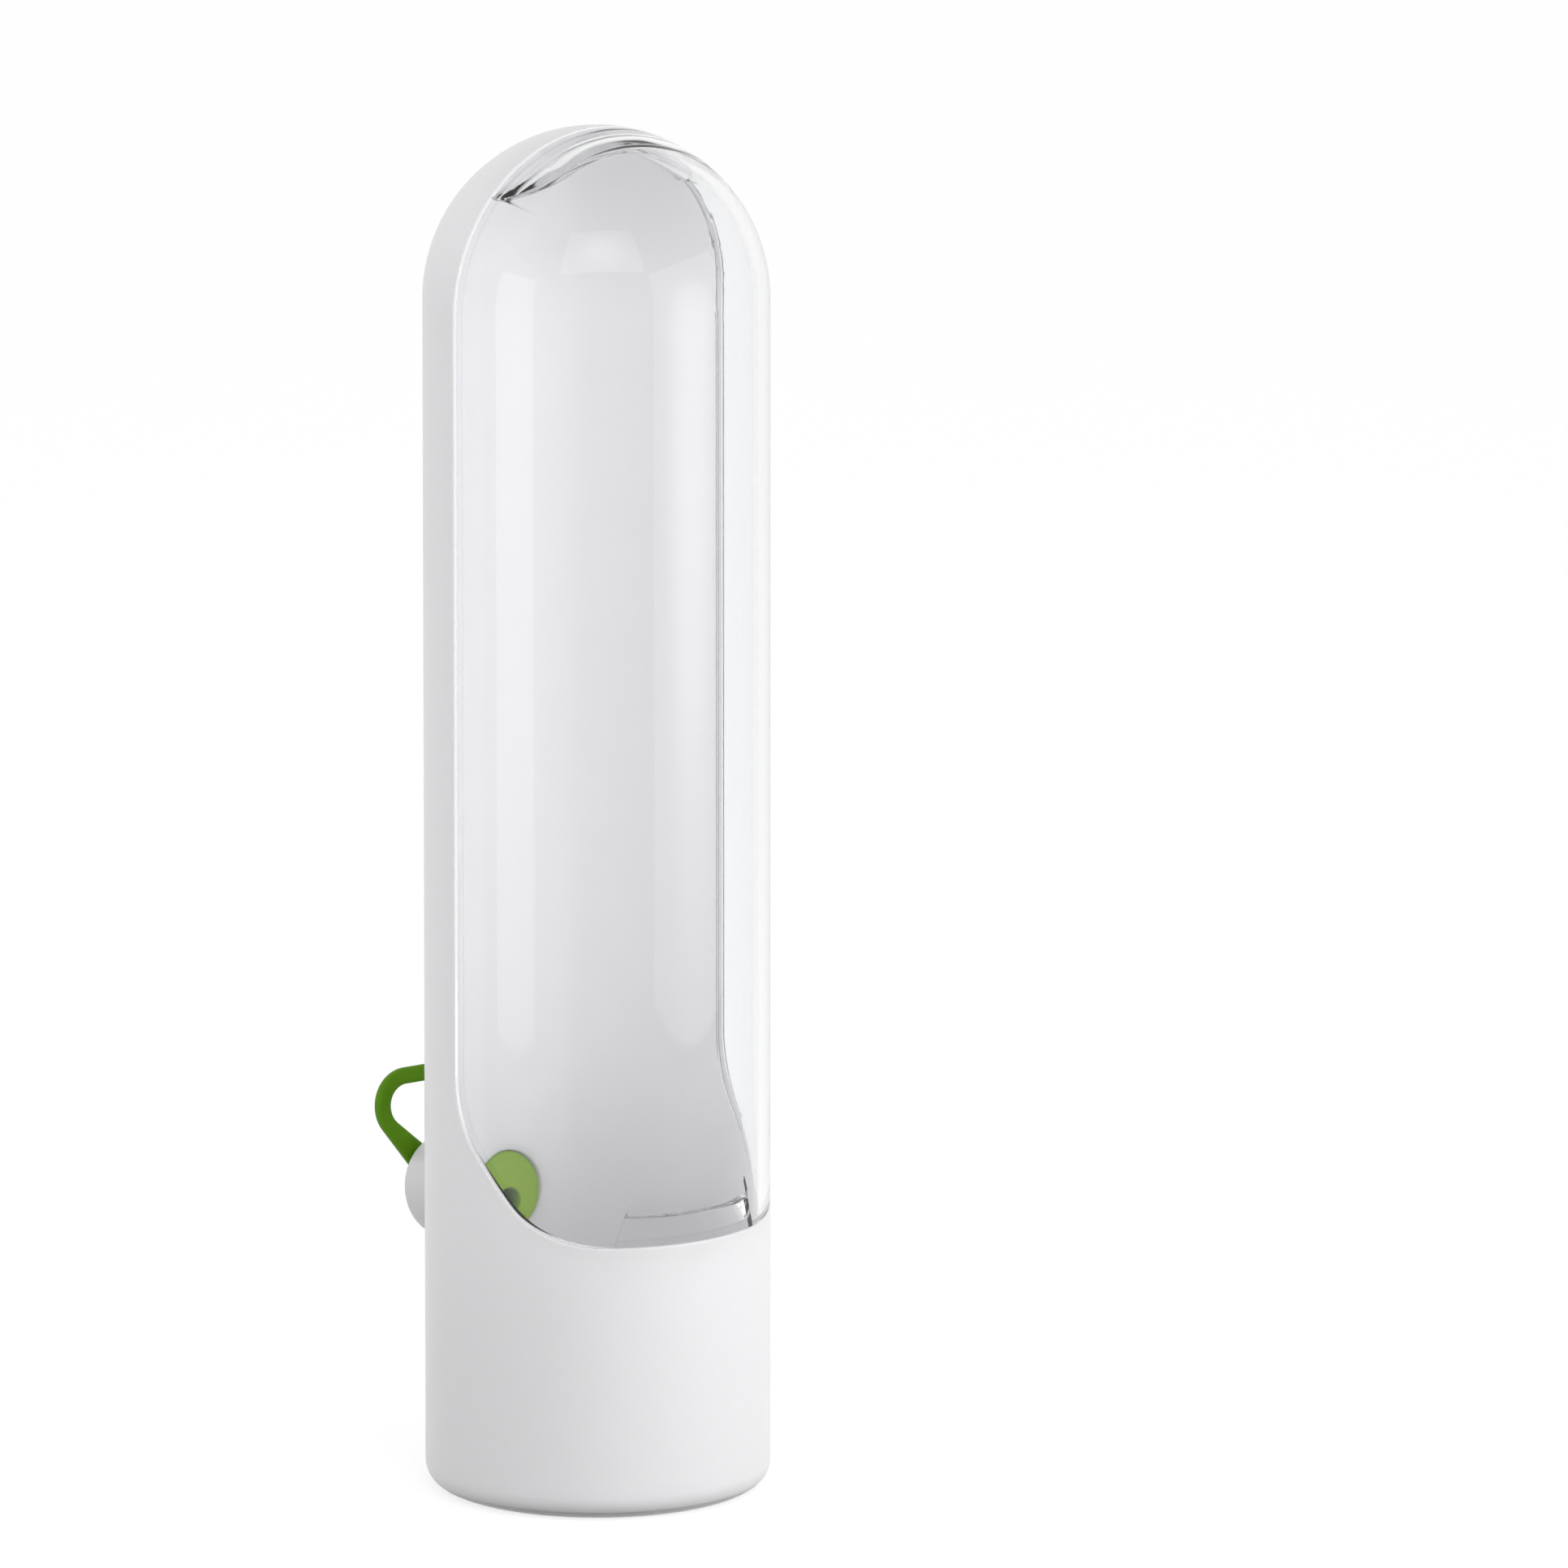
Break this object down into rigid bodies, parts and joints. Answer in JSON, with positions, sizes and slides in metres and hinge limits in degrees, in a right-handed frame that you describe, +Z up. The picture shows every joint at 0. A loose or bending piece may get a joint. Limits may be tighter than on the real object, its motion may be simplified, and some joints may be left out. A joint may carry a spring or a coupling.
{
  "type": "herb keeper",
  "caption": "Upright domed round pod for keeping fresh herbs in water: white body, clear lift-off front cover and a stoppered port low at the back.",
  "frame": {"origin": "on the pod's upright axis, at the flat foot ring that the keeper stands on", "axes": "+Z up along the pod's axis to the dome; -Y is the front with the clear cover; +Y is the back, where the stoppered port stands out; +X is to the right seen from the front"},
  "size_m": [0.07, 0.0946, 0.28],
  "materials": {
    "white_plastic": "smooth white opaque moulded plastic, satin gloss",
    "clear_plastic": "polished water-clear moulded plastic",
    "green_silicone": "smooth green silicone, slight sheen"
  },
  "bodies": {
    "body": {"body_shell": "white_plastic", "base_plate": "white_plastic"},
    "cover": {"front_cover": "clear_plastic"},
    "plug": {"stopper": "green_silicone"}
  },
  "joints": [
    {"name": "cover_tilt", "type": "hinge", "parent": "body", "child": "cover", "pos_m": [0, -0.035, 0.057], "axis": [1, 0, 0], "range_deg": [0, 25]},
    {"name": "stopper_pull", "type": "slide", "parent": "body", "child": "plug", "axis": [0, 0.9925, -0.1219], "range_m": [0, 0.035]}
  ]
}
